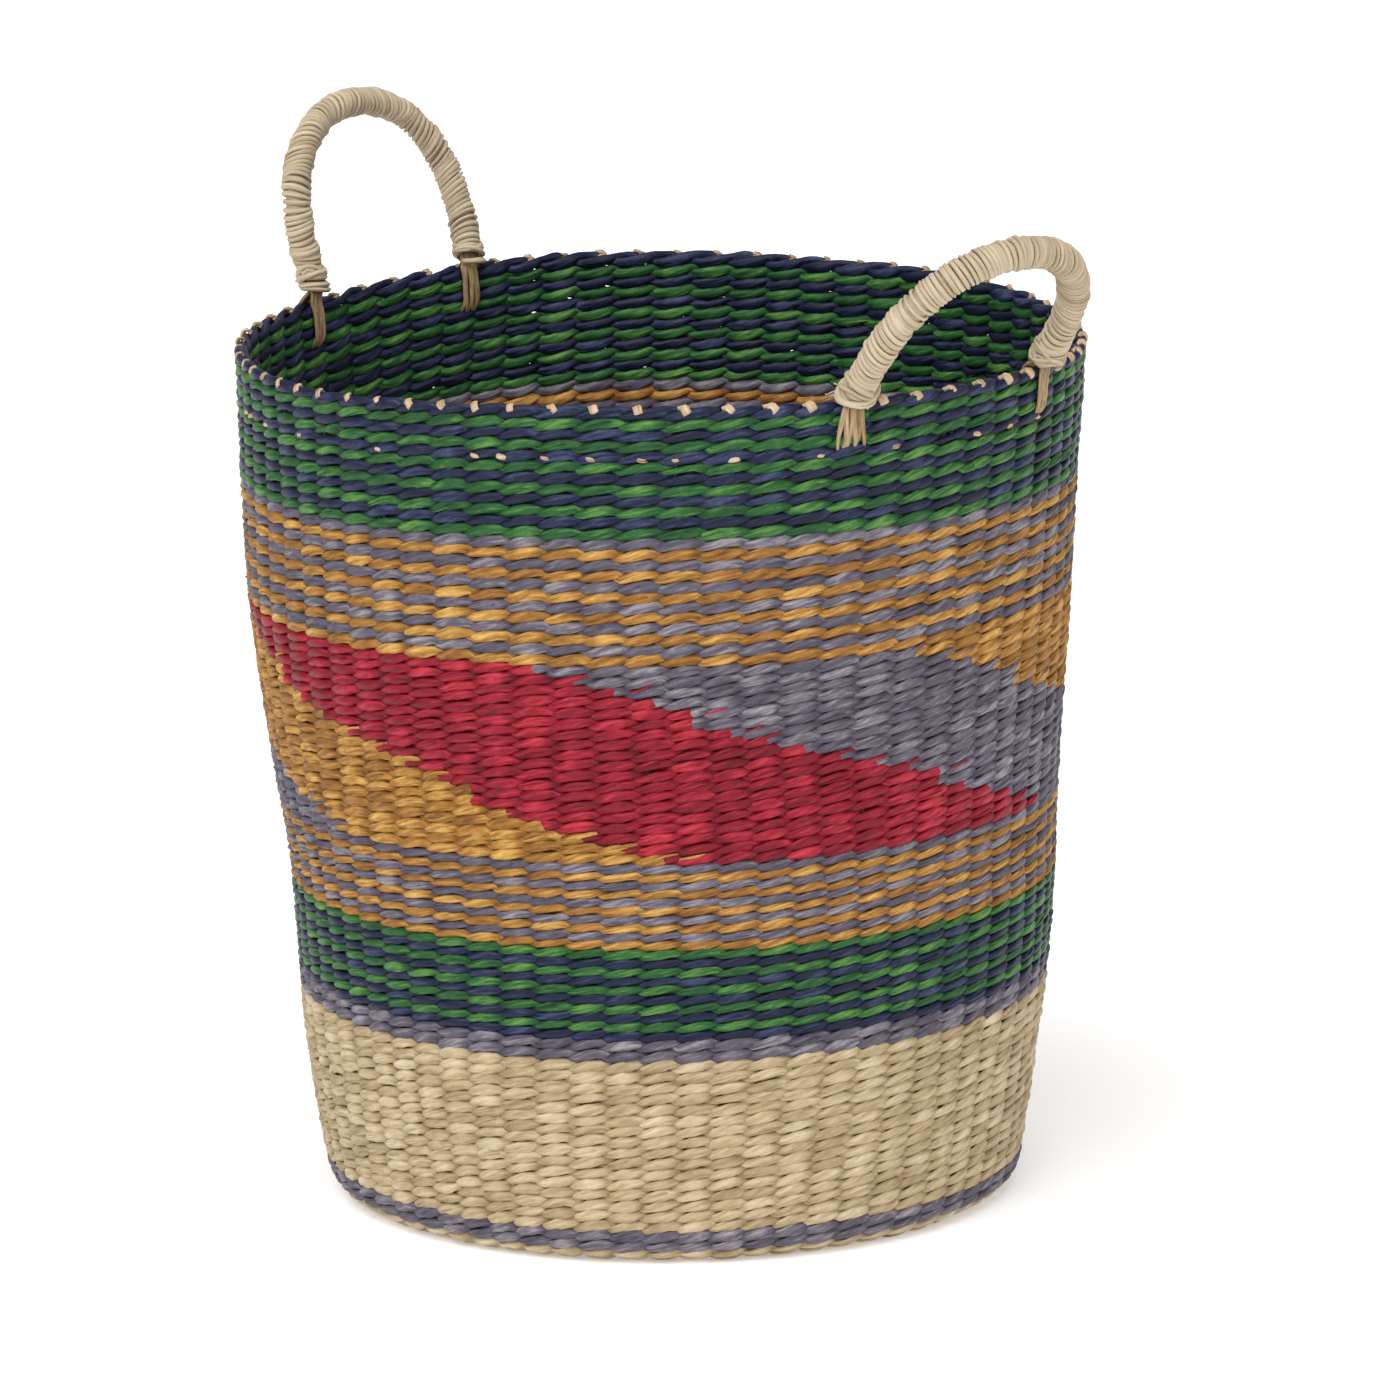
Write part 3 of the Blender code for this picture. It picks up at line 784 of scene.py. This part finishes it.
def build_feet(side_name, handle):
    """Bare strands of both feet, bending between the basket and the handle."""
    half_angle = math.degrees(math.asin(handle["half_span"] / hinge_radius()))
    for label, sign in (("first", 1.0), ("second", -1.0)):
        azimuth = handle["azimuth"] + sign * half_angle
        bundle = Bundle("%s_foot_strands_%s" % (side_name, label))
        for inside in (False, True):
            frayed = side_name == "right" and label == "second" and not inside
            fan = WIDE_FAN if frayed else TAIL_HALF_FAN
            for place in np.linspace(-1.0, 1.0, 6 if frayed else 5):
                foot_strand(bundle, azimuth, handle["lean"], TAIL_HALF_SPAN * place, fan * place, inside)
        node = "%s_foot_%s_tails_" % (side_name, label)
        made = bundle.build(MATERIALS["strand"], SLOTS["strand"], None, node + "outer", node + "inner")
        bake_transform(made)


# ---- Stage -----------------------------------------------------------------------

def look_back(azimuth, elevation):
    """Direction from the basket to a viewer at an azimuth and elevation in degrees."""
    turn, height = math.radians(azimuth), math.radians(elevation)
    return Vector((math.sin(turn) * math.cos(height), -math.cos(turn) * math.cos(height),
                   math.sin(height)))


def build_camera():
    """Camera at the product view: slightly above, between the two handles."""
    back = look_back(CAMERA_AZIMUTH, CAMERA_ELEVATION)
    middle = Vector((0.0, 0.0, RIM_Z / 2.0))
    right = Vector(VIEW_RIGHT)
    aim = middle + right * AIM_RIGHT + right.cross(-back) * AIM_UP
    camera = bpy.data.objects.new("camera", bpy.data.cameras.new("camera"))
    bpy.context.collection.objects.link(camera)
    camera.location = middle + back * CAMERA_DISTANCE
    level = (aim - camera.location).to_track_quat("-Z", "Y").to_matrix()
    camera.rotation_euler = (level @ Matrix.Rotation(math.radians(-CAMERA_ROLL), 3, "Z")).to_euler()
    camera.data.lens = CAMERA_LENS
    camera.data.sensor_width = 36.0
    camera.data.clip_end = 50.0
    bpy.context.scene.camera = camera


def aimed(name, light, azimuth, elevation, distance):
    """A lamp that looks at the basket from an azimuth and elevation."""
    back = look_back(azimuth, elevation)
    lamp = bpy.data.objects.new(name, light)
    bpy.context.collection.objects.link(lamp)
    lamp.location = Vector((0.0, 0.0, RIM_Z / 2.0)) + back * distance
    lamp.rotation_euler = (-back).to_track_quat("-Z", "Y").to_euler()


def build_stage():
    """White light table, white surroundings and soft light from above."""
    bpy.ops.mesh.primitive_plane_add(size=16.0)
    floor = bpy.context.object
    floor.name = "studio_floor"
    paint = bpy.data.materials.new("studio_floor")
    paint.use_nodes = True
    shader = paint.node_tree.nodes["Principled BSDF"]
    shader.inputs["Base Color"].default_value = (0.92, 0.92, 0.92, 1.0)
    shader.inputs["Roughness"].default_value = 0.9
    shader.inputs["Specular IOR Level"].default_value = 0.1
    shader.inputs["Emission Color"].default_value = (1.0, 1.0, 1.0, 1.0)
    shader.inputs["Emission Strength"].default_value = 0.3
    floor.data.materials.append(paint)
    world = bpy.data.worlds.new("studio")
    world.use_nodes = True
    world.node_tree.nodes["Background"].inputs["Color"].default_value = (1.0, 1.0, 1.0, 1.0)
    world.node_tree.nodes["Background"].inputs["Strength"].default_value = 0.42
    bpy.context.scene.world = world
    overhead = bpy.data.lights.new("overhead", "SUN")
    overhead.energy = 2.2
    overhead.angle = math.radians(55.0)
    aimed("overhead", overhead, CAMERA_AZIMUTH - 20.0, 60.0, 3.0)
    for name, turn, height, power in (("left", -50.0, 25.0, 8.0), ("right", 45.0, 25.0, 8.0)):
        light = bpy.data.lights.new(name, "AREA")
        light.size = 1.2
        light.energy = power
        aimed(name, light, CAMERA_AZIMUTH + turn, height, 2.2)
    bpy.context.scene.view_settings.view_transform = "Standard"


build_camera()
build_bands()
build_pattern()
build_heel_and_base()
build_stakes()
for handle_side, handle_shape in HANDLES.items():
    build_handle(handle_side, handle_shape)
    build_feet(handle_side, handle_shape)
build_stage()
